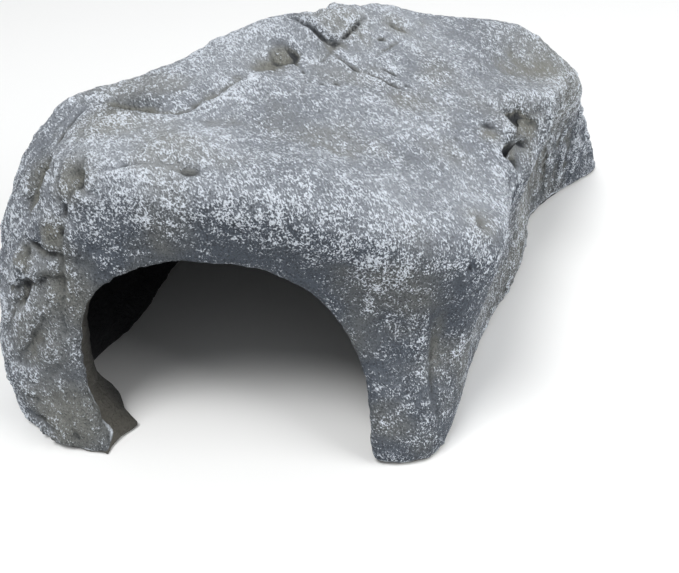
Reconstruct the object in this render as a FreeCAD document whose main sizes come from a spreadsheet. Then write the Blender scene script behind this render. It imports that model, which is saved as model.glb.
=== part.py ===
import FreeCAD, Part
import math
import os

# A resin cave ornament for an aquarium: a hollow rock, cast in one piece, open underneath and
# through an arched mouth at the front. +X runs along its length, +Y to its back, +Z up, and it
# stands on its rim at Z = 0. Millimetres.

VECTOR = FreeCAD.Vector

# Driving dimensions.
DIMENSIONS = {
    "side_wall": 8.0,       # thickness of the sides and back
    "front_wall": 12.0,     # thickness of the front, seen in the jambs of the mouth
    "roof": 11.0,           # thickness of the roof at its middle
    "low_part": 0.5,        # the outside's low contour, as a part of the way from foot to waist
    "belly_part": 0.62,     # its belly, as a part of the way from waist to brow
    "belly": 2.5,           # how far the belly bulges
    "crown_inset": 0.12,    # how far in, from brow to centre, the roof's first contour lies
    "crown_rise": 2.0,      # how far that contour stands above the brow
    "roof_part": 0.4,       # the roof's next contour, as a part of the way from there to its middle
    "cap_inset": 0.6,       # how far in the roof's flat middle begins
    "cap_height": 76.5,     # height over the origin of the plane of the roof's middle
    "cap_fall": 0.158,      # fall of that plane for each millimetre towards +X
    "cap_climb": 0.077,     # its climb for each millimetre towards the back
    "toe_width": 5.0,       # how far the foot turns inward past the wall
    "toe_height": 7.0,      # height of that inturned foot
    "wide_toe": 12.0,       # its width on the left, where the casting is heaviest
    "hollow_low": 0.3,      # the hollow's low contour, as a part of the way from foot to waist
    "shoulder": 0.5,        # its shoulder, as a part of the way from waist to brow
    "ceiling_inset": 0.25,  # how far in, from shoulder to centre, the flat ceiling begins
    "low_fan": 0.22,        # height of the low contour's plane, as a part of the ceiling's
    "waist_fan": 0.6,       # the same for the waist's plane
    "shoulder_fan": 0.85,   # the same for the shoulder's plane
    "below_rim": 2.0,       # how far the cutters reach down past the rim
    "mouth_width": 71.0,    # widest part of the mouth
    "mouth_height": 57.5,   # crown of the mouth over the rim
    "mouth_x": -36.0,       # middle of the mouth
    "mouth_plane": -90.0,   # the plane, ahead of the front, on which the mouth is drawn
    "mouth_depth": 54.0,    # how far back from that plane the mouth's cut reaches
}

# The rock's contour at stations set round it, anticlockwise from above. At each, the foot stands
# on the rim, the waist is part of the way up and the brow is where the wall turns into the roof.
STATION_COLUMNS = ("foot_x", "foot_y", "waist_x", "waist_y", "waist_z", "brow_x", "brow_y", "brow_z")
STATIONS = {
    "back_middle":   (4, 71, 4, 61, 45, 5, 36, 82),
    "back_left":     (-36, 52, -30, 44, 46, -15, 21, 81),
    "left_back":     (-70, 22, -62, 17, 44, -38, 6, 79),
    "left_middle":   (-89, -16, -85, -15, 42, -63, -12, 78),
    "left_bulge":    (-98, -52, -97, -48, 38, -82, -32, 77),
    "left_corner":   (-82, -71, -80, -64, 42, -70, -54, 77),
    "left_jamb":     (-65, -76, -62, -68, 48, -57, -63, 80),
    "mouth_crown":   (-28, -76, -30, -69, 50, -36, -69, 78),
    "right_jamb":    (5, -79, 4, -71, 42, -4, -72, 74),
    "right_foot":    (18, -76, 21, -71, 35, 24, -66, 64),
    "pillar_front":  (30, -47, 31, -47, 34, 35, -44, 62),
    "pillar_middle": (44, -15, 41, -18, 34, 43, -24, 64),
    "pillar_back":   (57, 13, 52, 9, 32, 54, 1, 66),
    "recess":        (62, 35, 57, 28, 34, 60, 15, 63),
    "wing_front":    (84, 61, 73, 49, 32, 63, 24, 62),
    "wing_tip":      (97, 76, 83, 63, 30, 66, 34, 62),
    "wing_back":     (80, 79, 68, 66, 34, 56, 37, 71),
    "back_right":    (45, 77, 42, 67, 42, 41, 40, 76),
}
FRONT_STATIONS = ("left_corner", "left_jamb", "mouth_crown", "right_jamb", "right_foot")
WIDE_TOE_STATIONS = ("left_middle", "left_bulge")
# Stations on corners too sharp for the hollow to follow.
SOLID_STATIONS = ("left_corner", "right_jamb", "wing_front", "wing_tip", "wing_back")

# Half the mouth's outline from its crown down to the foot, as parts of half its width and of its
# height: the left shoulder is tight and the right one falls slowly.
MOUTH_LEFT = (
    (0.42, 0.97), (0.72, 0.88), (0.90, 0.75), (0.98, 0.58), (1.0, 0.38), (0.93, 0.16), (0.86, 0.0),
)
MOUTH_RIGHT = (
    (0.25, 0.98), (0.52, 0.91), (0.76, 0.77), (0.90, 0.62), (1.0, 0.44), (1.06, 0.2), (1.08, 0.0),
)


def make_sheet(document):
    """The spreadsheet: one aliased row for each dimension, then the table of stations."""
    sheet = document.addObject("Spreadsheet::Sheet", "Dimensions")
    for row, (name, value) in enumerate(DIMENSIONS.items(), start=1):
        sheet.set(f"A{row}", name)
        sheet.set(f"B{row}", str(value))
        sheet.setAlias(f"B{row}", name)
    first = len(DIMENSIONS) + 2
    for row, (station, values) in enumerate(STATIONS.items(), start=first):
        sheet.set(f"A{row}", station)
        for letter, column, value in zip("BCDEFGHI", STATION_COLUMNS, values):
            sheet.set(f"{letter}{row}", str(value))
            sheet.setAlias(f"{letter}{row}", f"{station}_{column}")
    document.recompute()
    return sheet


def station_point(sheet, station, level):
    """Where a station's foot, waist or brow stands."""
    height = 0.0 if level == "foot" else sheet.get(f"{station}_{level}_z")
    return VECTOR(sheet.get(f"{station}_{level}_x"), sheet.get(f"{station}_{level}_y"), height)


def level_points(sheet, stations):
    """The foot, waist and brow contours through some stations."""
    levels = ("foot", "waist", "brow")
    return [[station_point(sheet, station, level) for station in stations] for level in levels]


def inward(contour):
    """Unit vectors that point, level, into a contour that runs anticlockwise."""
    count = len(contour)
    directions = []
    for index in range(count):
        along = contour[(index + 1) % count] - contour[index - 1]
        directions.append(VECTOR(-along.y, along.x, 0).normalize())
    return directions


def inset(contour, distances):
    """A contour moved inward by its own distance at each station."""
    return [point + way * distance for point, way, distance in zip(contour, inward(contour), distances)]


def drawn_in(contour, part):
    """A contour drawn level part of the way in to its own middle."""
    middle = sum(contour, VECTOR()) / len(contour)
    return [point + (VECTOR(middle.x, middle.y, point.z) - point) * part for point in contour]


def between(lower, upper, part):
    """A contour part of the way from one to another."""
    return [low + (high - low) * part for low, high in zip(lower, upper)]


def lifted(contour, height):
    """A contour moved up."""
    return [point + VECTOR(0, 0, height) for point in contour]


def at_height(contour, height):
    """A contour laid level at one height."""
    return [VECTOR(point.x, point.y, height) for point in contour]


def on_cap(contour, sheet, drop=0.0):
    """A contour laid on the sloping plane of the roof's middle."""
    height = sheet.cap_height - drop
    return [VECTOR(p.x, p.y, height - sheet.cap_fall * p.x + sheet.cap_climb * p.y) for p in contour]


def fanned(contour, sheet, part):
    """A contour laid on a plane part of the way up from the rim's plane to the ceiling's."""
    return [VECTOR(p.x, p.y, p.z * part) for p in on_cap(contour, sheet, drop=sheet.roof)]


def knots_of(contour):
    """Parameters for a curve through a contour, spaced as the roots of its spans."""
    knots = [0.0]
    for index, point in enumerate(contour):
        following = contour[(index + 1) % len(contour)]
        knots.append(knots[-1] + math.sqrt((following - point).Length))
    return knots


def smoothed(contours):
    """Contours with one more between each pair, on smooth curves that climb through every station."""
    climbs = list(zip(*contours))
    levels = [0.0]
    for lower, upper in zip(contours, contours[1:]):
        levels.append(levels[-1] + sum((high - low).Length for low, high in zip(lower, upper)))
    curves = [Part.BSplineCurve() for climb in climbs]
    for curve, climb in zip(curves, climbs):
        curve.interpolate(Points=list(climb), Parameters=levels)
    halves = [(low + high) / 2 for low, high in zip(levels, levels[1:])]
    return [[curve.value(level) for curve in curves] for level in sorted(levels + halves)]


def add_contour(document, name, points, knots):
    """A closed smooth curve through points: not flat, so it isn't a sketch."""
    curve = Part.BSplineCurve()
    curve.interpolate(Points=points, PeriodicFlag=True, Parameters=knots)
    contour = document.addObject("Part::Feature", name)
    contour.Shape = Part.Wire([curve.toShape()])
    return contour


def add_loft(document, name, contours):
    """A solid through contours, from the lowest up, whose curves share the lowest one's spacing."""
    knots = knots_of(contours[0])
    loft = document.addObject("Part::Loft", name)
    loft.Sections = [
        add_contour(document, f"{name}_{index}", points, knots) for index, points in enumerate(contours)
    ]
    loft.Ruled = True
    loft.Solid = True
    return loft


def outer_contours(sheet):
    """The rock's outer face, from the rim to the middle of the roof."""
    foot, waist, brow = level_points(sheet, STATIONS)
    crown = lifted(drawn_in(brow, sheet.crown_inset), sheet.crown_rise)
    cap = on_cap(drawn_in(brow, sheet.cap_inset), sheet)
    low = between(foot, waist, sheet.low_part)
    belly = inset(between(waist, brow, sheet.belly_part), [-sheet.belly] * len(brow))
    roof = between(crown, cap, sheet.roof_part)
    return foot, low, waist, belly, brow, crown, roof, cap


def hollow_contours(sheet):
    """The hollow's face, on planes that fan out from the rim's to the ceiling's."""
    stations = [station for station in STATIONS if station not in SOLID_STATIONS]
    foot, waist, brow = level_points(sheet, stations)
    walls = [sheet.front_wall if station in FRONT_STATIONS else sheet.side_wall for station in stations]
    toes = [sheet.wide_toe if station in WIDE_TOE_STATIONS else sheet.toe_width for station in stations]
    toe = inset(foot, [wall + width for wall, width in zip(walls, toes)])
    low = inset(between(foot, waist, sheet.hollow_low), walls)
    shoulder = inset(between(waist, brow, sheet.shoulder), walls)
    ceiling = drawn_in(shoulder, sheet.ceiling_inset)
    return (
        at_height(toe, -sheet.below_rim),
        at_height(toe, sheet.toe_height),
        fanned(low, sheet, sheet.low_fan),
        fanned(inset(waist, walls), sheet, sheet.waist_fan),
        fanned(shoulder, sheet, sheet.shoulder_fan),
        fanned(ceiling, sheet, 1.0),
    )


def make_mouth(document):
    """The cutter for the mouth: a sketch of the arch, upright, pushed back through the front."""
    sheet = document.Dimensions
    upright = FreeCAD.Rotation(VECTOR(1, 0, 0), 90)
    sketch = document.addObject("Sketcher::SketchObject", "mouth_outline")
    sketch.Placement = FreeCAD.Placement(VECTOR(0, sheet.mouth_plane, 0), upright)
    half = sheet.mouth_width / 2
    left = [(sheet.mouth_x - part * half, rise * sheet.mouth_height) for part, rise in reversed(MOUTH_LEFT)]
    right = [(sheet.mouth_x + part * half, rise * sheet.mouth_height) for part, rise in MOUTH_RIGHT]
    outline = left + [(sheet.mouth_x, sheet.mouth_height)] + right
    points = [VECTOR(x, z, 0) for x, z in outline]
    arch = Part.BSplineCurve()
    arch.interpolate(Points=points)
    below = VECTOR(0, -sheet.below_rim, 0)
    sketch.addGeometry(arch, False)
    for start, end in (
        (points[-1], points[-1] + below),
        (points[-1] + below, points[0] + below),
        (points[0] + below, points[0]),
    ):
        sketch.addGeometry(Part.LineSegment(start, end), False)
    cutter = document.addObject("Part::Extrusion", "mouth_cutter")
    cutter.Base = sketch
    cutter.DirMode = "Custom"
    cutter.Dir = VECTOR(0, 1, 0)
    cutter.setExpression("LengthFwd", "Dimensions.mouth_depth")
    cutter.Solid = True
    return cutter


def make_cave_shell(document):
    """The whole casting: the rock, less its hollow and its mouth."""
    sheet = document.Dimensions
    voids = document.addObject("Part::MultiFuse", "voids")
    voids.Shapes = [add_loft(document, "hollow_form", hollow_contours(sheet)), make_mouth(document)]
    shell = document.addObject("Part::Cut", "cave_shell")
    shell.Base = add_loft(document, "outer_form", smoothed(outer_contours(sheet)))
    shell.Tool = voids
    document.recompute()
    box = shell.Shape.optimalBoundingBox()
    shell.Placement.Base = VECTOR(-box.Center.x, -box.Center.y, -box.ZMin)
    shell.Label = "cave_shell"
    return shell


def check(document, parts):
    """Stop where any object failed or any part's shape is empty or broken."""
    for item in document.Objects:
        if "Invalid" in item.State or "Error" in item.State:
            raise SystemExit(f"{item.Name} failed: {item.State}")
    for part in parts:
        if part.Shape.isNull() or not part.Shape.isValid():
            raise SystemExit(f"{part.Label} has no sound shape")


def main():
    document = FreeCAD.newDocument("cave_ornament")
    make_sheet(document)
    parts = [make_cave_shell(document)]
    document.recompute()
    check(document, parts)
    os.makedirs("parts", exist_ok=True)
    for part in parts:
        box = part.Shape.optimalBoundingBox()
        print(part.Label, f"{box.XLength:.1f} x {box.YLength:.1f} x {box.ZLength:.1f} mm",
              f"{part.Shape.Volume / 1000:.1f} cm3", len(part.Shape.Solids), "solid")
        part.Shape.exportStep(f"parts/{part.Label}.step")


main()
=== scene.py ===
# %% [markdown]
# # A cast-resin cave for an aquarium
# The real thing is one hollow casting, painted to look like a weathered rock. The engineering model
# gives its size, its walls and its mouth. This lesson turns that smooth shell into the rock: it
# remeshes the shell finely, carves the rock's own features into the mesh, and then paints it.

# %% Load the engineering model
import math

import bpy
import numpy as np
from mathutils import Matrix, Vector, noise
from mathutils.bvhtree import BVHTree
from mathutils.kdtree import KDTree


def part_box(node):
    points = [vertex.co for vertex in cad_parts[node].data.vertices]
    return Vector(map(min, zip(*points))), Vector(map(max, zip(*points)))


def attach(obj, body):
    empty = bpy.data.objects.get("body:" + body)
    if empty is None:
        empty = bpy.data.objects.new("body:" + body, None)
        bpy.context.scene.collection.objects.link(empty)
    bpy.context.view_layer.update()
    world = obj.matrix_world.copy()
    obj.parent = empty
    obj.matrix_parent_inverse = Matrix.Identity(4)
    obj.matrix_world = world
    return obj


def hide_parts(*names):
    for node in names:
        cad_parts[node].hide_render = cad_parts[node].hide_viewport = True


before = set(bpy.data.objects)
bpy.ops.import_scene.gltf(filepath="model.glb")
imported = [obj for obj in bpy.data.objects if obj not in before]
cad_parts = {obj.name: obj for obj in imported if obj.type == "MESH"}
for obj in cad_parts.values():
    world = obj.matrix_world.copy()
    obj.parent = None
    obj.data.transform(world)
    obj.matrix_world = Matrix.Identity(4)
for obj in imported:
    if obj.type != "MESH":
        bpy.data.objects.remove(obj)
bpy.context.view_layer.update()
MM = 0.001
SHELL = "cave_shell"
low_corner, high_corner = (np.array(corner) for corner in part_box(SHELL))
print("engineering box, mm:", np.round((high_corner - low_corner) / MM, 1))

# %% [markdown]
# ## The camera
# The ornament is seen from the front, from well above its mouth, close enough for its front feet
# to look larger than its back. A fixed lens and a pitch angle are enough: the camera looks along
# +Y and down.

# %% Set up the camera
CAMERA_AT = (-6 * MM, -224.6 * MM, 173.1 * MM)
CAMERA_PITCH = 38.0
LENS_PER_SENSOR = 850 / 679

camera_data = bpy.data.cameras.new("camera")
camera_data.sensor_width = 36.0
camera_data.lens = camera_data.sensor_width * LENS_PER_SENSOR
camera_data.clip_start = 0.01
camera = bpy.data.objects.new("camera", camera_data)
camera.location = CAMERA_AT
camera.rotation_euler = (math.radians(90.0 - CAMERA_PITCH), 0.0, 0.0)
bpy.context.scene.collection.objects.link(camera)
bpy.context.scene.camera = camera
print("lens, mm:", round(camera_data.lens, 2))

# %% [markdown]
# ## The floor and the light
# A pale sweep of paper and large soft lamps, as a product table has. The light comes mostly from
# above and in front, so the roof is bright, the front is a little darker and the hollow is dark.

# %% Lay the floor and hang the lamps
PAPER = (0.86, 0.86, 0.85)
SKY = (0.95, 0.97, 1.0, 1.0)
SKY_STRENGTH = 0.42
LAMPS = (
    # name, place, size in metres, watts
    ("key_lamp", (-0.22, -0.30, 0.80), 0.30, 4.8),
    ("fill_lamp", (0.65, -0.25, 0.50), 0.50, 4.2),
    ("back_lamp", (0.10, 0.70, 0.60), 0.60, 1.3),
)


def plain_material(name, colour, roughness):
    """A material of one colour."""
    material = bpy.data.materials.new(name)
    material.use_nodes = True
    shader = material.node_tree.nodes["Principled BSDF"]
    shader.inputs["Base Color"].default_value = (*colour, 1.0)
    shader.inputs["Roughness"].default_value = roughness
    return material


def make_floor(half_side):
    """A square sheet to stand on."""
    sides = ((-1, -1), (1, -1), (1, 1), (-1, 1))
    corners = [(across * half_side, along * half_side, 0.0) for across, along in sides]
    mesh = bpy.data.meshes.new("floor")
    mesh.from_pydata(corners, [], [(0, 1, 2, 3)])
    floor = bpy.data.objects.new("floor", mesh)
    bpy.context.scene.collection.objects.link(floor)
    floor.data.materials.append(plain_material("paper", PAPER, 0.9))
    return floor


def make_lamp(name, place, size, watts, target=(0, 0, 0.04)):
    """A square soft lamp that faces the ornament."""
    light = bpy.data.lights.new(name, "AREA")
    light.size = size
    light.energy = watts
    lamp = bpy.data.objects.new(name, light)
    lamp.location = place
    lamp.rotation_euler = (Vector(target) - Vector(place)).to_track_quat("-Z", "Y").to_euler()
    bpy.context.scene.collection.objects.link(lamp)
    return lamp


make_floor(3.0)
for lamp_name, place, size, watts in LAMPS:
    make_lamp(lamp_name, place, size, watts)
bpy.context.scene.view_settings.view_transform = "Standard"
world = bpy.data.worlds.new("studio")
world.use_nodes = True
world.node_tree.nodes["Background"].inputs["Color"].default_value = SKY
world.node_tree.nodes["Background"].inputs["Strength"].default_value = SKY_STRENGTH
bpy.context.scene.world = world
print("lamps:", [lamp[0] for lamp in LAMPS])

# %% [markdown]
# ## A skin fine enough to carve
# The engineering mesh has long thin triangles that can't hold a crack. A voxel remesh wraps it in
# even squares about a millimetre across. The points are then read into one array, because moving
# a hundred thousand points is quick in numpy and slow one at a time.

# %% Remesh the shell
VOXEL = 0.9 * MM


def remeshed_copy(source, name, voxel):
    """A copy of an object's mesh, wrapped in even squares."""
    piece = bpy.data.objects.new(name, source.data.copy())
    bpy.context.scene.collection.objects.link(piece)
    modifier = piece.modifiers.new("wrap", "REMESH")
    modifier.mode = "VOXEL"
    modifier.voxel_size = voxel
    graph = bpy.context.evaluated_depsgraph_get()
    wrapped = bpy.data.meshes.new_from_object(piece.evaluated_get(graph))
    piece.modifiers.clear()
    piece.data = wrapped
    wrapped.name = name
    return piece


rock = remeshed_copy(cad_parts[SHELL], "cave_rock", VOXEL)
mesh = rock.data
print("points:", len(mesh.vertices), "faces:", len(mesh.polygons))


# %% [markdown]
# ### Points, neighbours and outward directions
# Softening a value over the surface means taking the mean of each point's neighbours a few times. The
# engineering mesh's facets are softened away like this, so that they don't show through the carving.

# %% Read the points and their neighbours
def read_points(mesh):
    """The mesh's points as an array, in millimetres."""
    flat = np.empty(len(mesh.vertices) * 3)
    mesh.vertices.foreach_get("co", flat)
    return flat.reshape(-1, 3) / MM


def read_edges(mesh):
    """The mesh's edges as pairs of point numbers."""
    flat = np.empty(len(mesh.edges) * 2, dtype=np.int64)
    mesh.edges.foreach_get("vertices", flat)
    return flat.reshape(-1, 2)


def read_corners(mesh):
    """The corners of the mesh's four-sided faces."""
    flat = np.empty(len(mesh.loops), dtype=np.int64)
    mesh.loops.foreach_get("vertex_index", flat)
    return flat.reshape(-1, 4)


base = read_points(mesh)
edges = read_edges(mesh)
corners = read_corners(mesh)
edge_ends = np.concatenate([edges[:, 0], edges[:, 1]])
edge_starts = np.concatenate([edges[:, 1], edges[:, 0]])
neighbour_count = np.bincount(edge_ends, minlength=len(base))[:, None]


def neighbour_mean(values):
    """The mean of each point's neighbours."""
    columns = [
        np.bincount(edge_ends, weights=column[edge_starts], minlength=len(base)) for column in values.T
    ]
    return np.stack(columns, axis=1) / neighbour_count


def smooth(values, times):
    """Values softened over the surface."""
    shape = values.shape
    values = values.reshape(len(base), -1)
    for _ in range(times):
        values = 0.5 * values + 0.5 * neighbour_mean(values)
    return values.reshape(shape)


def normals_of(points):
    """Each point's outward direction."""
    first, second, third, fourth = (points[corners[:, index]] for index in range(4))
    face_normals = np.cross(third - first, fourth - second)
    sums = [
        np.bincount(corners.ravel(), weights=np.repeat(face_normals[:, axis], 4), minlength=len(base))
        for axis in range(3)
    ]
    normals = np.stack(sums, axis=1)
    return normals / (np.linalg.norm(normals, axis=1, keepdims=True) + 1e-12)


base = smooth(base, 9)
normals = smooth(normals_of(base), 4)
edge_lengths = np.linalg.norm(base[edges[:, 0]] - base[edges[:, 1]], axis=1)
print("mean edge, mm:", round(float(edge_lengths.mean()), 2))

# %% [markdown]
# ## Outside and inside
# The paint covers only the outside. A point is inside when a look along its own outward direction
# meets the casting again, or meets the ground under it. Some points of the hollow look out through
# the mouth and pass for outer ones. So the outside is then taken as only those outer points that a
# path over others can reach from the top of the roof.

# %% Find the inside
STEP_OUT = 0.8
BY_THE_GROUND = 0.5
LOOK_FAR = 160.0
DOWNWARD = -0.05


def covered(tree, place):
    """Whether the casting stands over a place on the ground."""
    return tree.ray_cast(Vector((place.x, place.y, -5.0)), Vector((0, 0, 1)))[0] is not None


def find_inside(points, normals):
    """1 for each point of the hollow, the jambs and the underside, else 0."""
    tree = BVHTree.FromPolygons(points.tolist(), corners.tolist())
    inside = np.zeros(len(points))
    for index, (place, way) in enumerate(zip(points, normals)):
        start = Vector(place) + Vector(way) * STEP_OUT
        if start.z < BY_THE_GROUND:
            inside[index] = 1.0
            continue
        if tree.ray_cast(start, Vector(way), LOOK_FAR)[0] is not None:
            inside[index] = 1.0
        elif way[2] < DOWNWARD:
            inside[index] = covered(tree, start - Vector(way) * (start.z / way[2]))
    return inside


def spread(start, allowed, rounds=600):
    """The allowed points that a path over allowed points joins to the start."""
    reached = np.zeros(len(base), dtype=bool)
    reached[start] = True
    for _ in range(rounds):
        touched = np.bincount(edge_ends, weights=reached[edge_starts], minlength=len(base)) > 0
        reached |= touched & allowed
    return reached


inside = find_inside(base, smooth(normals, 4))
for _ in range(4):
    inside = np.round(smooth(inside, 10))
inside = 1.0 - spread(np.argmax(base[:, 2]), inside < 0.5)
inside = smooth(inside, 4)
outside = 1.0 - inside
print("inside share:", round(float(inside.mean()), 2))

# %% [markdown]
# ## Tools for carving
# The casting copies real stone: broad planes, chipped facets, cracks, sockets and knobs. Each tool
# below gives a height for every point of the smooth shell, and the heights add up before the points
# move, so no cut disturbs the next one. Sizes are in millimetres.
#
# ### Noise
# Stone is rough at every size, which fractal noise copies. It also breaks into flat chips. For those,
# space is divided into cells, and each cell tilts the surface its own way. A tilt is three readings of
# plain noise at shifted places, which come out the same on every run.

# %% Noise tools
def fractal(points, size, octaves=4, seed=0.0):
    """Rough hills of a given width, from about -1 to 1."""
    shift = np.array((13.7, 5.1, 9.3)) * (seed + 1.0)
    return np.array([noise.fractal(place, 1.0, 2.0, octaves) for place in points / size + shift])


TILT_SHIFTS = (Vector((9.3, -1.5, -7.9)), Vector((2.1, 6.6, 3.4)), Vector((-4.7, 8.2, 5.9)))


def facets(points, sizes, slope, seed=0.0):
    """Chipped faces: each cell of stone tilts its own way."""
    sizes = np.array(sizes, dtype=float)
    shift = np.array((3.3, 8.9, 2.7)) * (seed + 1.0)
    scaled = points / sizes + shift
    heights = np.empty(len(points))
    for index, place in enumerate(scaled):
        centre = noise.voronoi(place)[1][0]
        tilt = Vector([noise.noise(centre * 3.7 + shifted) for shifted in TILT_SHIFTS])
        offset = (Vector(place) - centre) * sizes.mean()
        heights[index] = slope * tilt.dot(offset)
    return heights


def ramp(values, low, high):
    """0 below low, 1 above high, and smooth between."""
    part = np.clip((values - low) / (high - low), 0.0, 1.0)
    return part * part * (3.0 - 2.0 * part)


WOBBLE = 1.1
wobble = WOBBLE * np.stack([fractal(base, 7.0, 3, seed) for seed in (1, 2, 3)], axis=1)
wobbly = base + wobble
print("wobble, mm:", round(float(np.abs(wobble).max()), 1))


# %% [markdown]
# ### Lumps, cracks and ledges
# A lump takes a centre, three radii, a height and how flat its middle is. A crack takes a path, a
# width and a depth. A ledge takes a path, the direction of its low side, its drop, its reach, the rise
# of its other side and the width of its edge. Each place is given roughly, and the tool finds the
# point of the shell's outside nearest to it. A path wobbles a little unless it is told to be straight.

# %% Carving tools
def on_shell(place):
    """The point of the smooth shell's outside nearest a place."""
    distances = np.linalg.norm(base - np.array(place, dtype=float), axis=1) + 50.0 * inside
    return base[np.argmin(distances)]


def lump(centre, radii, height, sharpness=2.0):
    """A knob, or a dent when the height is negative; a higher sharpness flattens its middle."""
    reach = np.linalg.norm((wobbly - on_shell(centre)) / np.array(radii, dtype=float), axis=1)
    return height * np.exp(-(reach**sharpness))


def along_path(points, path):
    """For each point: its offset from a path's nearest place, and how far along that place lies."""
    stops = [on_shell(place) for place in path]
    best = np.full(len(points), np.inf)
    offsets = np.zeros_like(points)
    progress = np.zeros(len(points))
    for index, (start, end) in enumerate(zip(stops, stops[1:])):
        run = end - start
        part = np.clip((points - start) @ run / (run @ run + 1e-9), 0.0, 1.0)
        offset = points - start - part[:, None] * run
        distance = np.linalg.norm(offset, axis=1)
        closer = distance < best
        best[closer] = distance[closer]
        offsets[closer] = offset[closer]
        progress[closer] = (index + part[closer]) / (len(stops) - 1)
    return offsets, progress


def crack(path, width, depth, straight=False):
    """A cut that fades at both ends, with a slight lip."""
    offsets, progress = along_path(base if straight else base + 0.5 * wobble, path)
    reach = np.linalg.norm(offsets, axis=1) / width
    fade = np.sqrt(np.clip(np.sin(np.pi * np.clip(progress, 0.02, 0.98)), 0.0, 1.0))
    return fade * depth * (0.25 * np.exp(-((reach / 2.6) ** 2)) - 1.25 * np.exp(-(reach**2)))


def ledge(path, low_side, drop, reach, rise=0.0, edge=1.0, straight=False):
    """A step along a path: the surface falls sharply on the low side and swells on the other."""
    offsets, progress = along_path(base if straight else base + 0.7 * wobble, path)
    side = offsets @ (np.array(low_side, dtype=float) / np.linalg.norm(low_side))
    distance = np.linalg.norm(offsets, axis=1)
    fade = np.clip(4.0 * np.minimum(progress, 1.0 - progress) + 0.35, 0.0, 1.0)
    low = -drop * ramp(side, -edge / 2, edge / 2) * np.exp(-((distance / reach) ** 2))
    high = rise * ramp(-side, -edge / 2, edge / 2) * np.exp(-((distance / reach) ** 2))
    return fade * (low + high)


# %% [markdown]
# ## The roof
# The roof is one broad weathered plane. It carries two shallow valleys at the left, a socket with a
# pebble in it, a raised block at the back with a straight crack beside it, and a few short gashes.
# A broad rise and a broad fall at the back come first. Then come the valleys, whose steep sides are
# ledges, and a crack and two small dents along the front edge.

# %% Carve the valleys and the front edge
height = np.zeros(len(base))


def carved():
    """The deepest cut and the highest knob so far."""
    return round(float(height.min()), 1), round(float(height.max()), 1)


height += lump((-28, 9, 80), (22, 13, 20), 4.6)
height += lump((24, 35, 77), (22, 14, 16), -5.0)
height += ledge(
    [(-68, -28, 79), (-62, -32, 79), (-57, -35, 79), (-50, -35, 79)],
    (0.2, 1, 0), 3.4, 4.6, 0.9, 0.8,
)
height += lump((-57, -31, 79), (6.5, 3.6, 6), -1.0, 3.0)
height += ledge(
    [(-42, -33, 78), (-38, -29, 78), (-33, -22, 79), (-27, -15, 80)], (-0.7, 0.7, 0), 2.0, 5.0, 0.9
)
height += crack([(-54, -36, 79), (-48, -34, 79), (-42, -33, 78)], 1.8, 0.8)
height += lump((-63, -42, 79), (9, 7, 8), 1.2)
height += crack([(-63, -61, 78), (-56, -63, 80), (-52, -63, 81), (-46, -62, 81)], 0.8, 0.9)
height += lump((-43, -62, 81), (5, 2.4, 4), -1.2)
height += lump((-38.5, -64, 80), (3.0, 1.8, 3), -2.0)
height += crack([(-44, -66, 79), (-40, -66, 79)], 0.7, 0.9)
print("carved so far, mm:", carved())

# %% [markdown]
# ### The pebble in its socket
# The socket is a flat-bottomed dent. The pebble is a small lump put back into it, a little off centre.
# A crack runs behind it and down its right side, and a shallower dent lies in front.

# %% Carve the socket
height += lump((-21.5, -3, 79), (4.4, 3.4, 5), -1.7, 4.0)
height += lump((-21.8, -3, 79), (2.3, 2.0, 4), 1.9, 3.0)
height += crack([(-26, 0, 80), (-22, 1.5, 79), (-18, -1.5, 79), (-18.5, -5.5, 79)], 0.9, 0.9)
height += lump((-25, -9, 78), (4.5, 3.0, 5), -0.7, 3.0)
height += crack([(-18, -4, 78), (-15, -11, 78)], 0.8, 1.2)
print("carved so far, mm:", carved())

# %% [markdown]
# ### The block at the back
# A ledge drops along the front of the block, and two humps and some cracks lie on it. A smaller knob
# stands to its right. The straight crack runs down its right side and on over the roof, growing fainter.

# %% Carve the block
height += ledge(
    [(-19, 12, 82), (-14, 8.5, 80), (-9, 6.5, 79), (-6, 8, 79)],
    (0.25, -1, 0), 1.3, 1.8, 1.4, 0.5,
)
height += crack([(-14, 8.5, 81), (-10, 6.5, 80)], 1.1, 0.7)
height += ledge([(-6.5, 7.5, 79), (-3, 13, 80), (1, 20, 82)], (1, -0.5, 0), 0.4, 1.5, 0.9, 0.4, True)
height += lump((-8, 17, 83), (7, 7, 8), 1.0, 3.0)
height += lump((-6, 25, 83), (5, 4, 6), 1.7, 3.0)
height += crack([(-11, 21, 83), (-7, 23, 84), (-3, 22, 83)], 0.9, 1.7)
height += crack([(-13, 17, 83), (-9, 18, 83)], 0.8, 1.2)
height += lump((11, 26, 80), (6, 4, 6), 1.1, 3.0)
height += lump((11, 21, 80), (3.2, 1.3, 3), -1.2)
height += crack([(2, 21, 82), (-2, 15, 80), (-6, 8, 79)], 0.75, 0.9, straight=True)
height += crack([(-7, 6, 78), (-12, -6, 78)], 0.7, 0.55, straight=True)
height += crack([(-13, -9, 78), (-16, -22, 77)], 0.7, 0.4, straight=True)
print("carved so far, mm:", carved())

# %% [markdown]
# ### Gashes
# Short cracks, two small pits and a shallow dent break the middle of the roof.

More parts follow.
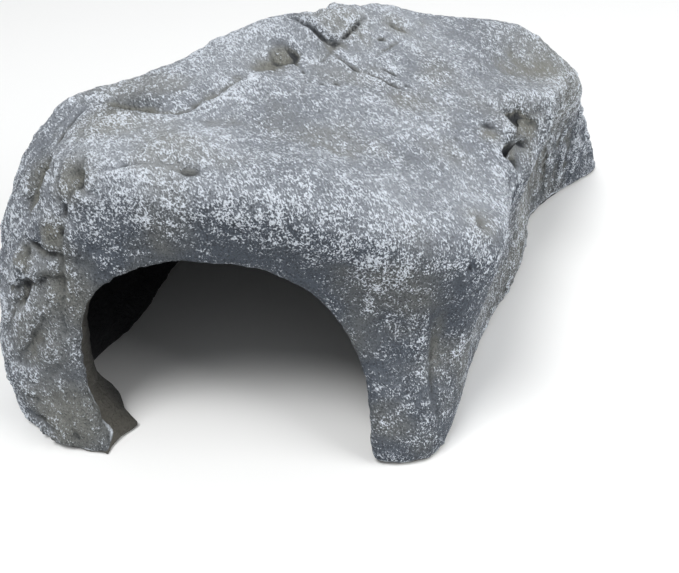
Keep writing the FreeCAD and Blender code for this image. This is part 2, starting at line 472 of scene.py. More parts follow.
# %% Carve the gashes
height += crack([(5, 14, 77), (8, 14.5, 77)], 0.8, 1.0)
height += crack([(13, 18, 78), (9, 12, 77), (3, 3, 76)], 0.7, 0.6)
height += crack([(-7, 1, 77), (-3, -2, 77), (0, -4, 76)], 1.1, 1.5)
height += crack([(1, -4, 76), (6, -7, 75), (12, -10, 74)], 0.8, 1.9)
height += crack([(6, 0, 76), (10, -3, 75)], 0.7, 1.3)
height += crack([(11, -7, 75), (13, -9, 74)], 0.6, 0.9)
height += lump((-10, -15, 77), (0.9, 0.8, 2), -0.9)
height += lump((-7, -13, 77), (0.9, 0.8, 2), -0.9)
height += lump((12, -16, 74), (6, 4, 6), -0.6)
print("roof, mm:", carved())

# %% [markdown]
# ## The left wall
# The left corner is the most broken part: sockets near the brow, two egg-shaped knobs over a ledge,
# and grooves that run down and outward to a hollow just above the foot. Four broad lumps and dents
# set its outline first, and then the sockets of the brow are sunk.

# %% Carve the left brow
height += lump((-80, -37, 76), (12, 14, 14), -4.6)
height += lump((-93, -58, 16), (10, 12, 12), 2.3)
height += lump((-96, -52, 42), (8, 12, 18), -1.2)
height += lump((-84, -68, 5), (10, 9, 9), 2.6)
height += lump((-79, -51, 71), (4.2, 4.0, 5.5), -2.6, 3.0)
height += lump((-82, -54, 64), (3.6, 3.6, 3.2), -2.0, 3.0)
height += lump((-77, -48, 74), (0.9, 0.9, 1.2), -2.0)
height += ledge([(-75, -52, 75), (-76, -56, 69), (-81, -57, 61)], (-1, 0.3, 0.3), 0.9, 3.0, 1.1, 0.8)
height += lump((-65.5, -59, 76), (2.4, 4.0, 5.0), -1.9, 3.0)
height += lump((-64.5, -62, 74.5), (1.0, 1.1, 1.8), -1.4)
height += lump((-67, -62, 72), (1.0, 1.1, 1.9), -1.4)
height += crack([(-68, -63, 71), (-69, -64, 66)], 1.0, 1.5)
height += crack([(-70, -48, 77), (-68.5, -53, 76), (-70.5, -59, 73), (-69, -63, 68)], 1.1, 0.8)
height += crack([(-72, -47, 77), (-73, -54, 74), (-73, -59, 70)], 1.0, 1.0)
height += crack([(-70, -29, 79), (-73, -38, 77), (-75, -46, 75)], 1.0, 1.2)
print("carved so far, mm:", carved())

# %% [markdown]
# ### Knobs and ledges
# A long upright crack and ledge mark the corner beside the mouth. Each knob is a lump with a shallow
# dent in its middle, and a ledge falls away below it.

# %% Carve the knobs
height += crack([(-70, -64, 66), (-70, -65, 56), (-72, -66, 45), (-74, -68, 32)], 1.9, 0.8)
height += ledge([(-69, -64, 66), (-70.5, -65, 56), (-71, -66, 45)], (-1, 0, 0), 0.3, 3.0, 0.7, 1.4)
height += lump((-73, -62, 63), (5.0, 5.0, 5.4), 1.7, 3.0)
height += lump((-72, -63, 62), (3.0, 3.4, 3.0), -0.9, 4.0)
height += ledge([(-82, -58, 58), (-77, -61, 57), (-71, -64, 57)], (0, -0.2, -1), 1.7, 3.4, 0.5, 0.8)
height += lump((-83, -59, 53), (4.0, 4.0, 5.0), 1.5, 3.0)
height += lump((-82, -60, 53), (2.2, 2.4, 2.6), -0.8, 4.0)
height += ledge([(-92, -52, 43), (-87, -58, 43), (-82, -61, 47)], (0, 0, -1), 2.2, 5.0, 1.0, 0.8)
height += ledge([(-80, -62, 48), (-76, -64, 51), (-71, -65, 52)], (0, 0, -1), 1.3, 3.0, 0.7, 0.8)
print("carved so far, mm:", carved())

# %% [markdown]
# ### Grooves and the foot
# The grooves are cracks, some of them wide and shallow. The hollow over the foot is one dent inside
# another, so that its middle is deeper.

# %% Carve the grooves and the foot
height += crack([(-81, -61, 47), (-85, -60, 38)], 1.0, 1.1)
height += crack([(-76, -66, 41), (-81, -65, 32), (-86, -63, 23)], 3.0, 1.0, straight=True)
height += ledge([(-77, -64, 41), (-83, -63, 33), (-88, -61, 24)], (0.7, 0, -0.7), 0.3, 2.4, 0.9, 0.8)
height += crack([(-85, -61, 42), (-90, -57, 31)], 1.3, 1.0)
height += crack([(-74, -68, 28), (-80, -67, 20)], 1.6, 0.6)
height += lump((-86, -67, 5), (5.5, 5.5, 3.6), -2.6, 3.0)
height += lump((-84, -69, 4.5), (3.4, 3.4, 2.2), -3.2, 3.0)
height += lump((-80, -71, 8), (3.0, 3.0, 2.5), 0.8, 3.0)
height += ledge([(-90, -61, 14), (-84, -66, 13)], (0, 0, -1), 0.9, 3.0, 0.5)
height += crack([(-77, -72, 9), (-73, -73, 3)], 2.0, 0.7)
print("with the left wall, mm:", carved())

# %% [markdown]
# ## The right side
# A ragged notch bites the brow where the right wall turns back to the flared foot, with a square
# dent beside it. The notch is two dents, one in front of the other, with four ledges on their rims and
# small pits at the bottom.

# %% Carve the notch
height += lump((70, 36, 60), (9, 10, 9), -1.6)
height += lump((34, -22.5, 68), (2.7, 3.0, 5), -0.6, 5.0)
height += ledge([(31.5, -19.5, 69), (34, -18.5, 69), (36.5, -19.5, 68)], (0, -1, 0), 0.8, 1.4, 0.4, 0.6)
height += ledge([(36.5, -19, 68), (37.3, -22, 67), (37, -26, 66)], (-1, 0, 0), 0.3, 1.3, 0.5, 0.6)
height += lump((49, -9, 64), (9.5, 9.5, 11.0), -5.4, 4.0)
height += lump((43, -26, 62), (6.5, 6.0, 7.0), -4.8, 4.0)
height += ledge(
    [(38, -8, 69), (40, -13, 68), (42, -18, 67), (39.5, -23, 66), (36.5, -29, 65)],
    (1, -0.1, 0), 3.2, 3.4, 0.5, 0.5,
)
height += ledge([(39, -8, 68), (45, -4, 66), (53, -5, 63)], (0, -1, -0.3), 2.6, 5.0, 0.6, 0.6)
height += ledge([(41, -20, 66), (45, -19, 64), (51, -20, 60)], (0, -1, -0.3), 2.0, 3.6, 1.2, 0.6)
height += ledge(
    [(36.5, -29, 65), (40, -33, 62), (45, -33, 57), (49, -27, 56)],
    (-0.3, 1, 0.3), 1.2, 2.6, 1.3, 0.6,
)
height += lump((50, -24, 57), (2.6, 5.0, 3.0), 2.0, 3.0)
height += lump((44, -28, 59), (1.3, 1.3, 1.5), -2.0)
height += lump((46, -26, 58), (1.2, 1.2, 1.6), -1.6)
height += lump((49, -22, 57), (1.4, 1.2, 2.2), -1.8)
print("carved so far, mm:", carved())

# %% [markdown]
# ### The right wall and the front leg
# Long upright cracks run down the wall from the notch. The front leg has one upright step, and a tall
# dent beside it.

# %% Carve the wall and the leg
height += crack([(38, -34, 62), (37, -42, 58), (36, -46, 48), (35, -48, 36)], 1.2, 1.3)
height += crack([(40, -33, 60), (39, -38, 50), (38, -40, 38)], 1.2, 1.1)
height += crack([(44, -30, 57), (43, -32, 46), (42, -33, 34)], 1.4, 1.4)
height += lump((28, -60, 64), (2.4, 3.4, 4), -1.5, 3.0)
height += lump((19, -73, 35), (3.8, 4.0, 14), -1.5, 3.0)
height += ledge(
    [(15, -72, 49), (16, -72, 36), (16, -74, 22), (18, -75, 14)],
    (1, 0, 0), 0.6, 2.6, 0.3, 0.6, True,
)
height += crack([(16.6, -73, 28), (17.5, -75, 20), (20, -76, 12)], 0.8, 0.6)
height += lump((24, -70, 57), (1.1, 1.1, 1.6), -1.1)
height += crack([(32, -50, 32), (31, -53, 18)], 1.2, 1.0)
height += crack([(36, 9, 71), (35, 11, 71)], 0.6, 0.7)
print("with the right side, mm:", carved())

# %% [markdown]
# ## Weathering all over
# Broad swells keep the roof from looking flat. The walls at the left and back are chipped into
# facets. The flared foot at the right is split into upright splinters. The block on the roof is
# ragged. Fine slanting streaks cross the level parts, and a fine roughness covers everything. The
# masks wall, left, right, back and block say where each kind belongs.

# %% Weather the rock
wall = 1.0 - ramp(normals[:, 2], 0.45, 0.85)
left = 1.0 - ramp(base[:, 0], -66.0, -54.0)
right = ramp(base[:, 0] + 0.35 * base[:, 1], 34.0, 46.0)
back = ramp(base[:, 1], 5.0, 35.0)

swells = 1.3 * fractal(base, 34.0, 3, 4)
chips = facets(wobbly, (12.0, 12.0, 12.0), 0.22, 1)
small_chips = facets(wobbly, (5.0, 5.0, 5.0), 0.24, 2)
splinters = facets(wobbly, (5.5, 5.5, 26.0), 0.17, 3)
fibres = fractal(wobbly * np.array((1.0, 1.0, 0.2)), 2.0, 3, 5)
across_streaks = 0.85 * base[:, 0] + 0.53 * base[:, 1]
streaks = fractal(np.stack([across_streaks, 0.25 * base[:, 1], base[:, 2]], axis=1), 1.9, 3, 9)
block = lump((-7, 18, 83), (12, 11, 12), 1.0, 4.0)
ragged = facets(wobbly, (4.0, 4.0, 4.0), 0.55, 4)
grit = 0.16 * fractal(base, 1.9, 2, 6) + 0.22 * fractal(base, 4.5, 3, 7)

chipped = np.maximum(left * (0.3 + 0.7 * wall), 0.8 * back * wall) * (1.0 - 0.8 * right * wall)
height += swells
height += smooth(chips * chipped, 1)
height += smooth(small_chips * (0.2 + 0.8 * np.maximum(left, back) * wall), 1)
height += smooth(splinters * right * wall, 1)
height += smooth(ragged * block, 1)
height += 0.45 * fibres * wall * np.maximum(right, 0.7 * left)
height += 0.22 * streaks * (1.0 - wall)
height += grit
print("with the weathering, mm:", carved())

# %% [markdown]
# ## Moving the points
# The carving fades out across the edge of the mouth and at the rim, so the mouth keeps its size and
# the rim stays level. The hollow gets only the faint ripple of a rubber mould's inner face, and the
# jamb is a little ragged. The left foot's inner corner is drawn out to a toe.

# %% Move the points
TOE_TIP = np.array((-66.0, -65.0, 1.0))
TOE_REACH = np.array((6.0, 4.0, 5.5))
TOE_PUSH = 5.4
TOE_SHARPNESS = 1.6

jamb = ramp(-base[:, 1], 56.0, 64.0)
ripple = 0.5 * fractal(base, 6.0, 3, 8) + smooth(0.8 * ragged * jamb, 2)
near_edge = ramp(smooth(outside, 6), 0.45, 0.95)
rim_fade = ramp(base[:, 2], 0.0, 2.0)
moves = normals * (height * near_edge + ripple * (1.0 - near_edge))[:, None]
moves[:, 2] *= rim_fade
toe_distance = np.linalg.norm((base - TOE_TIP) / TOE_REACH, axis=1)
moves[:, 0] += TOE_PUSH * inside * np.exp(-(toe_distance**TOE_SHARPNESS))
points = base + moves
points[:, 2] = np.maximum(points[:, 2], 0.0)


def write_points(mesh, points):
    """Give the mesh its points back, in metres."""
    mesh.vertices.foreach_set("co", (points * MM).ravel())
    mesh.update()


write_points(mesh, points)
mesh.polygons.foreach_set("use_smooth", np.ones(len(mesh.polygons), dtype=bool))
print("carved box, mm:", np.round(np.ptp(points, axis=0), 1))

# %% [markdown]
# ## Masks for the brush
# A painter drags a nearly dry brush over the rock, so white catches on whatever stands up. Olive wash
# and near-black painted shade go into whatever lies low. Comparing the surface with a softened copy of
# itself finds both: once closely, for grit and cracks, and once widely, for knobs and sockets.

# %% Measure the highs and lows
def write_mask(mesh, name, values):
    """Store one number for each point, for the paint to read."""
    layer = mesh.attributes.new(name, "FLOAT", "POINT")
    layer.data.foreach_set("value", values.astype(np.float32))


def relief(points, times):
    """How far each point stands over a softened copy of the surface."""
    return ((points - smooth(points, times)) * normals).sum(axis=1)


def distance_to(places, chosen):
    """Each place's distance from the nearest of some chosen ones."""
    tree = KDTree(len(chosen))
    for index, place in enumerate(chosen):
        tree.insert(place, index)
    tree.balance()
    return np.array([tree.find(place)[2] for place in places])


def patches_at(spots):
    """Soft patches: the strongest of some spots at each point."""
    patches = [lump(centre, (radius, radius, radius), amount, 3.0) for centre, radius, amount in spots]
    return np.max(patches, axis=0)


close_relief = relief(points, 10)
wide_relief = relief(points, 150)
write_mask(mesh, "inside", inside)
write_mask(mesh, "close_relief", close_relief)
write_mask(mesh, "wide_relief", wide_relief)
print("close relief, mm:", np.round(np.percentile(close_relief, (1, 50, 99)), 2))
print("wide relief, mm:", np.round(np.percentile(wide_relief, (1, 50, 99)), 2))

# %% [markdown]
# ### Where the brush went
# Hand painting is uneven. The mouth's edge, the front leg and several sockets have little white, some
# places are stained with olive, and others have more pale dust. The pale patch on the right wing at
# the back is painted light. Each spot below is a centre, a radius and an amount.

# %% Mark the painter's patches
UNBRUSHED_SPOTS = (
    ((10, -77, 16), 17, 0.75), ((9, -75, 34), 11, 0.7), ((19, -70, 48), 12, 0.8), ((16, -72, 58), 9, 0.6),
    ((-57, -30, 79), 7, 0.9), ((-22, -3, 79), 3.5, 0.9), ((-25, -9, 78), 5, 0.7), ((-80, -51, 71), 6, 0.8),
    ((-66, -60, 75), 5, 0.8), ((-82, -65, 31), 9, 0.6), ((-82, -70, 7), 9, 0.6), ((48, -10, 63), 11, 0.6),
    ((43, -26, 62), 7, 0.5), ((-72, -63, 62), 3.5, 0.8), ((-82, -60, 53), 3, 0.8),
)
STAINED_SPOTS = (
    ((-22, -3, 79), 3.5, 0.9), ((-25, -9, 78), 5.5, 0.6), ((-7, 16, 83), 10, 0.6), ((10, 22, 80), 5, 0.5),
    ((11, -17, 74), 6, 0.5), ((-63, -41, 79), 8, 0.5), ((-46, -52, 80), 6, 0.35), ((-80, -51, 71), 7, 0.8),
    ((-66, -60, 75), 6, 0.8), ((-72, -63, 62), 4, 0.8), ((-82, -60, 53), 4, 0.8), ((-82, -64, 34), 14, 0.5),
    ((-76, -70, 10), 13, 0.75), ((34, -23, 68), 3.5, 0.8), ((48, -12, 63), 13, 0.6), ((66, 30, 52), 30, 0.65),
    ((62, 20, 25), 30, 0.65), ((26, -60, 62), 5, 0.6), ((-75, -67, 48), 9, 0.4),
)
# pale dust; the spot at (70, 38, 45) on the right wing is painted light
DUST_AND_LIGHT_SPOTS = (
    ((-50, -52, 80), 17, 0.8), ((8, 32, 79), 20, 0.7), ((-30, 5, 80), 12, 0.4), ((70, 38, 45), 30, 0.5),
    ((-88, -62, 30), 20, 0.5), ((-80, -70, 18), 14, 0.6),
)
BAND_WIDTH = 10.0
MOUTH_MIDDLE = -30.0
MOUTH_HALF_WIDTH = 42.0
MOUTH_BACK = -52.0

front_of_mouth = (base[:, 1] < MOUTH_BACK) & (np.abs(base[:, 0] - MOUTH_MIDDLE) < MOUTH_HALF_WIDTH)
mouth_edge = base[(np.abs(inside - 0.5) < 0.25) & front_of_mouth & (base[:, 2] > 0.8)]
mouth_band = np.exp(-((distance_to(base, mouth_edge) / BAND_WIDTH) ** 2))
painter_masks = {
    "unbrushed": np.maximum(mouth_band, patches_at(UNBRUSHED_SPOTS)),
    "stained": patches_at(STAINED_SPOTS),
    "dusted_and_lit": patches_at(DUST_AND_LIGHT_SPOTS),
}
for mask_name, mask in painter_masks.items():
    write_mask(mesh, mask_name, mask)
    print(mask_name, "mean:", round(float(mask.mean()), 2))

# %% [markdown]
# ## Saving triangles
# The outside needs its fine mesh, but the plain hollow does not, so only the hollow is thinned.

# %% Thin out the hollow
TRIANGLES = 192000


def thin_out(piece, weights, triangles):
    """Fewer faces where the weights are 1, and none lost where they are 0."""
    group = piece.vertex_groups.new(name="thin")
    group.add(np.nonzero(weights > 0.99)[0].tolist(), 1.0, "REPLACE")
    modifier = piece.modifiers.new("thin", "DECIMATE")
    modifier.vertex_group = group.name
    modifier.ratio = min(1.0, triangles / (2 * len(piece.data.polygons)))
    graph = bpy.context.evaluated_depsgraph_get()
    thinned = bpy.data.meshes.new_from_object(piece.evaluated_get(graph))
    piece.modifiers.clear()
    piece.vertex_groups.clear()
    piece.data = thinned
    return thinned


mesh = thin_out(rock, inside, TRIANGLES)
mesh.polygons.foreach_set("use_smooth", np.ones(len(mesh.polygons), dtype=bool))
mesh.calc_loop_triangles()
print("triangles:", len(mesh.loop_triangles), "masks:", [layer.name for layer in mesh.attributes][:8])

# %% [markdown]
# ## The paint
# The resin is painted slate grey and dusted paler where it faces up. Olive stains and washes lie over
# that, near-black painted shade darkens the low places and the cracks, and near-white is dry-brushed
# onto what stands up. The grain, the dry brush and the wash, which also lays the painted shade, are
# groups of nodes, each made once.

# %% Node helpers
def new_group(name, inputs, outputs):
    """An empty node group with its sockets; returns the group, its input node and its output node."""
    group = bpy.data.node_groups.new(name, "ShaderNodeTree")
    for in_out, sockets in (("INPUT", inputs), ("OUTPUT", outputs)):
        for socket, kind in sockets:
            group.interface.new_socket(socket, in_out=in_out, socket_type=kind)
    return group, group.nodes.new("NodeGroupInput"), group.nodes.new("NodeGroupOutput")


def add_node(tree, kind, settings=None, values=None):
    """A node with some settings, and numbers or links for some of its inputs."""
    node = tree.nodes.new(kind)
    for name, value in (settings or {}).items():
        setattr(node, name, value)
    for name, value in (values or {}).items():
        if isinstance(value, bpy.types.NodeSocket):
            tree.links.new(value, node.inputs[name])
        else:
            node.inputs[name].default_value = value
    return node


def calculate(tree, operation, *values, clamp=False):
    """One sum; returns its result."""
    node = add_node(tree, "ShaderNodeMath", {"operation": operation, "use_clamp": clamp})
    for index, value in enumerate(values):
        if isinstance(value, bpy.types.NodeSocket):
            tree.links.new(value, node.inputs[index])
        else:
            node.inputs[index].default_value = value
    return node.outputs[0]


def blend(tree, part, under, over):
    """Two colours mixed by a part."""
    node = add_node(tree, "ShaderNodeMix", {"data_type": "RGBA"})
    for index, value in ((0, part), (6, under), (7, over)):
        if isinstance(value, bpy.types.NodeSocket):
            tree.links.new(value, node.inputs[index])
        else:
            node.inputs[index].default_value = value
    return node.outputs[2]


def rescale(tree, value, low, high, steps="SMOOTHSTEP"):
    """0 at low, 1 at high, held between."""
    values = {"Value": value, "From Min": low, "From Max": high}
    node = add_node(tree, "ShaderNodeMapRange", {"interpolation_type": steps}, values)
    return node.outputs["Result"]


def limit(tree, value, low, high):
    """A value held between two numbers."""
    return calculate(tree, "MINIMUM", calculate(tree, "MAXIMUM", value, low), high)


def mask_value(tree, name):
    """A mask stored on the points."""
    return add_node(tree, "ShaderNodeAttribute", {"attribute_name": name}).outputs["Fac"]


# %% [markdown]
# ### Grain
# The skin has a fine sugary grain, as a mould taken from rough stone would give. It is drawn out along
# one direction.

# %% Make the grain group
RIDGE_SCALE = 0.42
SPECK_SHARE = 0.65
RIDGE_SHARE = 0.35


def make_grain_group():
    """Fine specks and curling ridges, drawn out along one direction; gives a value from 0 to 1."""
    group, start, end = new_group(
        "grain",
        (("Scale", "NodeSocketFloat"), ("Turn", "NodeSocketVector"), ("Stretch", "NodeSocketVector")),
        (("Grain", "NodeSocketFloat"),),
    )
    place = add_node(group, "ShaderNodeTexCoord").outputs["Object"]
    turning = {"Vector": place, "Rotation": start.outputs["Turn"]}
    turned = add_node(group, "ShaderNodeVectorRotate", {"rotation_type": "EULER_XYZ"}, turning)
    stretching = {0: turned.outputs["Vector"], 1: start.outputs["Stretch"]}
    drawn = add_node(group, "ShaderNodeVectorMath", {"operation": "MULTIPLY"}, stretching)
    fine = {"Vector": drawn.outputs[0], "Scale": start.outputs["Scale"], "Detail": 2.0, "Roughness": 0.6}
    sand = add_node(group, "ShaderNodeTexNoise", None, fine).outputs["Fac"]
    specks = rescale(group, sand, 0.3, 0.7, "LINEAR")
    coarse_scale = calculate(group, "MULTIPLY", start.outputs["Scale"], RIDGE_SCALE)
    coarse = {"Vector": drawn.outputs[0], "Scale": coarse_scale, "Detail": 3.0, "Roughness": 0.65}
    hills = add_node(group, "ShaderNodeTexNoise", None, coarse).outputs["Fac"]
    from_ridge = calculate(group, "ABSOLUTE", calculate(group, "SUBTRACT", hills, 0.5))
    ridges = rescale(group, from_ridge, 0.1, 0.0, "LINEAR")
    speck_part = calculate(group, "MULTIPLY", specks, SPECK_SHARE)
    ridge_part = calculate(group, "MULTIPLY", ridges, RIDGE_SHARE)
    group.links.new(calculate(group, "ADD", speck_part, ridge_part), end.inputs["Grain"])
    return group


grain_group = make_grain_group()
print("group:", grain_group.name, "nodes:", len(grain_group.nodes))

# %% [markdown]
# ### Dry brush
# White stays where the grain and the relief both stand up. The brush's load varies from place to
# place.

# %% Make the dry-brush group
def make_dry_brush_group():
    """Paint caught on whatever stands up."""
    group, start, end = new_group(
        "dry_brush",
        (
            ("Colour", "NodeSocketColor"),
            ("Brushed", "NodeSocketColor"),
            ("Grain", "NodeSocketFloat"),
            ("Relief", "NodeSocketFloat"),
            ("Load", "NodeSocketFloat"),
        ),
        (("Colour", "NodeSocketColor"),),
    )
    stands = calculate(group, "ADD", start.outputs["Grain"], start.outputs["Relief"])
    loaded = calculate(group, "ADD", stands, start.outputs["Load"])
    caught = rescale(group, loaded, 0.48, 0.82)
    colour = blend(group, caught, start.outputs["Colour"], start.outputs["Brushed"])
    group.links.new(colour, end.inputs["Colour"])
    return group


dry_brush_group = make_dry_brush_group()
print("group:", dry_brush_group.name, "nodes:", len(dry_brush_group.nodes))

# %% [markdown]
# ### Wash and painted shade
# Colour that settles in the low places. With olive it is a wash; with near-black it is painted shade.

# %% Make the wash and shade group
def make_wash_and_shade_group():
    """A tint that fills the low places: a wash, and painted shade when the tint is near-black."""
    group, start, end = new_group(
        "wash_and_shade",
        (
            ("Colour", "NodeSocketColor"),
            ("Wash_And_Shade", "NodeSocketColor"),
            ("Relief", "NodeSocketFloat"),
            ("Depth", "NodeSocketFloat"),
            ("Strength", "NodeSocketFloat"),
        ),
        (("Colour", "NodeSocketColor"),),
    )
    sunk = calculate(group, "MULTIPLY", start.outputs["Relief"], -1.0)
    lowness = calculate(group, "DIVIDE", sunk, start.outputs["Depth"])
    low_tint = calculate(group, "MULTIPLY", rescale(group, lowness, 0.1, 1.0), start.outputs["Strength"])
    colour = blend(group, low_tint, start.outputs["Colour"], start.outputs["Wash_And_Shade"])
    group.links.new(colour, end.inputs["Colour"])
    return group


wash_and_shade_group = make_wash_and_shade_group()
print("group:", wash_and_shade_group.name, "nodes:", len(wash_and_shade_group.nodes))

# %% [markdown]
# ### Colours and small tools
# The colours of the paints, from the darkest wash to the near-white of the brush.

# %% Name the colours
SLATE = (0.068, 0.084, 0.108, 1.0)
DUST_AND_LIGHT = (0.33, 0.355, 0.39, 1.0)
OLIVE = (0.235, 0.23, 0.185, 1.0)
# near-black painted shade for the low places, the grain's pits and the cracks
LOW_PLACE_SHADE = (0.018, 0.022, 0.03, 1.0)
BRUSHED = (0.72, 0.77, 0.84, 1.0)
BARE = (0.10, 0.094, 0.078, 1.0)
# painted shade deep in the hollow
HOLLOW_SHADE = (0.006, 0.007, 0.009, 1.0)


def place_group(tree, group, values):
    """A group node with its values."""
    return add_node(tree, "ShaderNodeGroup", {"node_tree": group}, values)


def noise_value(tree, scale, detail=2.0):
    """Soft clouds of a given scale."""
    place = add_node(tree, "ShaderNodeTexCoord").outputs["Object"]
    values = {"Vector": place, "Scale": scale, "Detail": detail}
    return add_node(tree, "ShaderNodeTexNoise", None, values).outputs["Fac"]


def uneven(tree, clouds, middle, strength):
    """Clouds made to swing either side of nothing."""
    return calculate(tree, "MULTIPLY", calculate(tree, "SUBTRACT", clouds, middle), strength)


def axes(tree, vector):
    """The X, Y and Z of a place or a direction."""
    return add_node(tree, "ShaderNodeSeparateXYZ", None, {0: vector}).outputs


def washed_and_shaded(tree, colour, wash_and_shade, relief_value, depth, strength):
    """A colour tinted in its low places: a wash, and painted shade when the tint is near-black."""
    values = {"Colour": colour, "Wash_And_Shade": wash_and_shade, "Relief": relief_value, "Depth": depth, "Strength": strength}
    return place_group(tree, wash_and_shade_group, values).outputs["Colour"]


# %% [markdown]
# ### The base coat
# Pale dust lies over slate wherever the rock faces up, more in some clouds than in others, and over the
# dusted patches, of which the one on the right wing at the back is painted light. Olive lies in clouds,
# in the stained patches and, as a wash, in the wide low places, which near-black painted shade then
# darkens further.

# %% Mix the base coat
FACING_UP = (-0.1, 0.85)
DUST_LEAST = 0.6
DUST_IN_CLOUDS = 0.35
DUST_LOST = 0.7
DUST_AND_LIGHT_ADDED = 0.4
OLIVE_IN_CLOUDS = 0.35
OLIVE_IN_STAINS = 0.8


def make_base_coat(tree, wide):
    """Slate, dust, olive and painted shade; returns the colour and how much dust, with some painted light,
    each place takes.
    """
    normal = add_node(tree, "ShaderNodeNewGeometry").outputs["Normal"]
    upward = rescale(tree, axes(tree, normal)["Z"], *FACING_UP)
    lost = calculate(tree, "MULTIPLY", mask_value(tree, "unbrushed"), DUST_LOST)
    # dust patches, and painted light on the right wing at the back
    added = calculate(tree, "MULTIPLY", mask_value(tree, "dusted_and_lit"), DUST_AND_LIGHT_ADDED)
    left_over = calculate(tree, "MULTIPLY", upward, calculate(tree, "SUBTRACT", 1.0, lost))
    facing = calculate(tree, "ADD", left_over, added)
    clouds = rescale(tree, noise_value(tree, 42.0), 0.3, 0.7)
    cloudy = calculate(tree, "ADD", calculate(tree, "MULTIPLY", clouds, DUST_IN_CLOUDS), DUST_LEAST)
    colour = blend(tree, calculate(tree, "MULTIPLY", facing, cloudy), SLATE, DUST_AND_LIGHT)
    olive_clouds = rescale(tree, noise_value(tree, 30.0, 3.0), 0.5, 0.66)
    colour = blend(tree, calculate(tree, "MULTIPLY", olive_clouds, OLIVE_IN_CLOUDS), colour, OLIVE)
    stains = calculate(tree, "MULTIPLY", mask_value(tree, "stained"), OLIVE_IN_STAINS)
    colour = blend(tree, stains, colour, OLIVE)
    colour = washed_and_shaded(tree, colour, OLIVE, wide, 1.2, 0.6)
    # painted shade: near-black in the wide low places
    return washed_and_shaded(tree, colour, LOW_PLACE_SHADE, wide, 4.0, 0.7), facing


# %% [markdown]
# ### The brush
# The grain's low specks get painted shade, most of all on the walls and less where the rock faces up.
# Then the brush catches what stands up. Its load changes over wide patches, small dabs and crumbs about
# a millimetre across, and is held back where the masks say so. Last, near-black painted shade is laid
# in the cracks.

# %% Dry-brush the coat
GRAIN = {"Scale": 2700.0, "Turn": (0.0, 0.0, math.radians(58.0)), "Stretch": (0.42, 1.0, 0.75)}
# how much painted shade the grain's pits take on the walls, and how much less where the rock faces up
PIT_SHADE_ON_WALLS = 0.7
PIT_SHADE_LESS_ON_TOP = 0.45
LOAD_HELD_BACK = 0.27
CRUMB_SCALE = 850.0
CRUMB_DETAIL = 3.0


def brush(tree, colour, facing, grain, crumbs, close, wide):
    """The colour with painted shade in the grain's low specks and in the cracks, and near-white on what
    stands up.
    """
    less = calculate(tree, "MULTIPLY", facing, PIT_SHADE_LESS_ON_TOP)
    pit_shade_amount = calculate(tree, "SUBTRACT", PIT_SHADE_ON_WALLS, less)
    # painted shade in the grain's pits, deepest on the walls
    pit_shade = calculate(tree, "MULTIPLY", rescale(tree, grain, 0.5, 0.1), pit_shade_amount)
    colour = blend(tree, pit_shade, colour, LOW_PLACE_SHADE)
    relief_close = limit(tree, calculate(tree, "MULTIPLY", close, 0.6), -0.2, 0.12)
    relief_wide = limit(tree, calculate(tree, "MULTIPLY", wide, 0.07), -0.3, 0.04)
    relief_sum = calculate(tree, "ADD", relief_close, relief_wide)
    patches = uneven(tree, noise_value(tree, 45.0), 0.53, 0.38)
    dabs = uneven(tree, noise_value(tree, 190.0), 0.52, 0.7)
    held_back = calculate(tree, "MULTIPLY", mask_value(tree, "unbrushed"), LOAD_HELD_BACK)
    load = calculate(tree, "SUBTRACT", calculate(tree, "ADD", patches, dabs), held_back)
    load = calculate(tree, "ADD", load, uneven(tree, crumbs, 0.52, 0.9))
    values = {"Colour": colour, "Brushed": BRUSHED, "Grain": grain, "Relief": relief_sum, "Load": load}
    colour = place_group(tree, dry_brush_group, values).outputs["Colour"]
    # painted shade: near-black laid in the cracks
    return washed_and_shaded(tree, colour, LOW_PLACE_SHADE, close, 0.75, 0.8)


# %% [markdown]
# ### Bare resin, painted shade in the hollow, and the rough skin
# The mask of the inside parts the painted outside from the bare olive-grey resin of the jambs and the
# hollow. A little way in, painted shade turns the hollow near-black. The brush left a broken white line
# on the mouth's lip. Two bumps roughen the skin: the crumbs, and the grain over them.

# %% Leave the inside bare, paint shade into the hollow and roughen the skin
# where the painted shade of the hollow starts and where it is full, along Y
HOLLOW_SHADE_FROM_TO = (-0.074, -0.052)


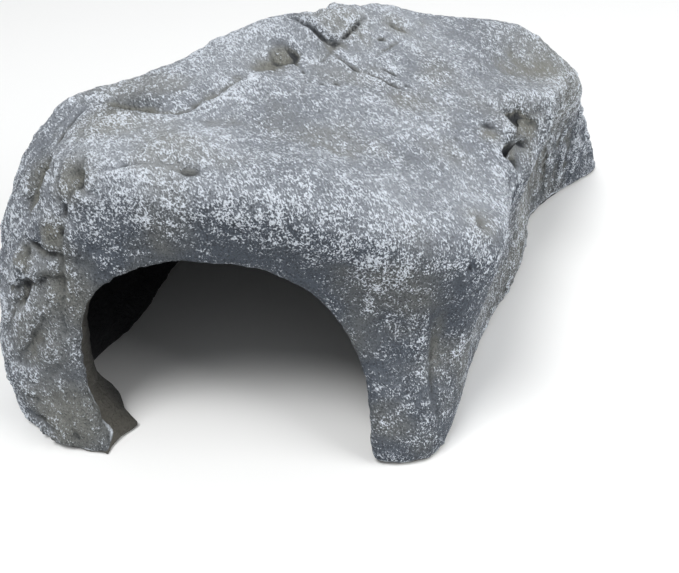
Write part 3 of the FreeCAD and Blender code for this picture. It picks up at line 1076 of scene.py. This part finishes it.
def leave_bare_and_shade(tree, colour):
    """The colour with a broken white lip, and bare resin inside that turns to near-black painted shade
    further in.
    """
    inner = mask_value(tree, "inside")
    place = add_node(tree, "ShaderNodeTexCoord").outputs["Object"]
    hollow_shade_amount = rescale(tree, axes(tree, place)["Y"], *HOLLOW_SHADE_FROM_TO)
    # painted shade: bare resin darkens to near-black further into the hollow
    bare_and_shade = blend(tree, hollow_shade_amount, BARE, HOLLOW_SHADE)
    broken = rescale(tree, noise_value(tree, 320.0), 0.4, 0.7)
    lip = calculate(tree, "MULTIPLY", rescale(tree, inner, 0.2, 0.4), broken)
    colour = blend(tree, lip, colour, BRUSHED)
    return blend(tree, rescale(tree, inner, 0.5, 0.62), colour, bare_and_shade)


def roughen(tree, crumbs, grain):
    """Two bumps, one over the other; returns the bent normal."""
    coarse = {"Strength": 0.9, "Distance": 0.0022, "Height": crumbs}
    crumbled = add_node(tree, "ShaderNodeBump", None, coarse).outputs["Normal"]
    fine = {"Strength": 0.8, "Distance": 0.0004, "Height": grain, "Normal": crumbled}
    return add_node(tree, "ShaderNodeBump", None, fine).outputs["Normal"]


# %% [markdown]
# ### The painted resin
# The casting is one piece, so one material covers it.

# %% Paint the rock
def make_rock_paint():
    """The painted casting."""
    material = plain_material("painted_resin", (0.2, 0.2, 0.2), 0.82)
    tree = material.node_tree
    shader = tree.nodes["Principled BSDF"]
    close = mask_value(tree, "close_relief")
    wide = mask_value(tree, "wide_relief")
    grain = place_group(tree, grain_group, GRAIN).outputs["Grain"]
    crumbs = noise_value(tree, CRUMB_SCALE, CRUMB_DETAIL)
    colour, facing = make_base_coat(tree, wide)
    colour = brush(tree, colour, facing, grain, crumbs, close, wide)
    tree.links.new(leave_bare_and_shade(tree, colour), shader.inputs["Base Color"])
    tree.links.new(roughen(tree, crumbs, grain), shader.inputs["Normal"])
    return material


mesh.materials.clear()
mesh.materials.append(make_rock_paint())
print("paint:", mesh.materials[0].name, "nodes:", len(mesh.materials[0].node_tree.nodes))
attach(rock, "root")
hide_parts(SHELL)
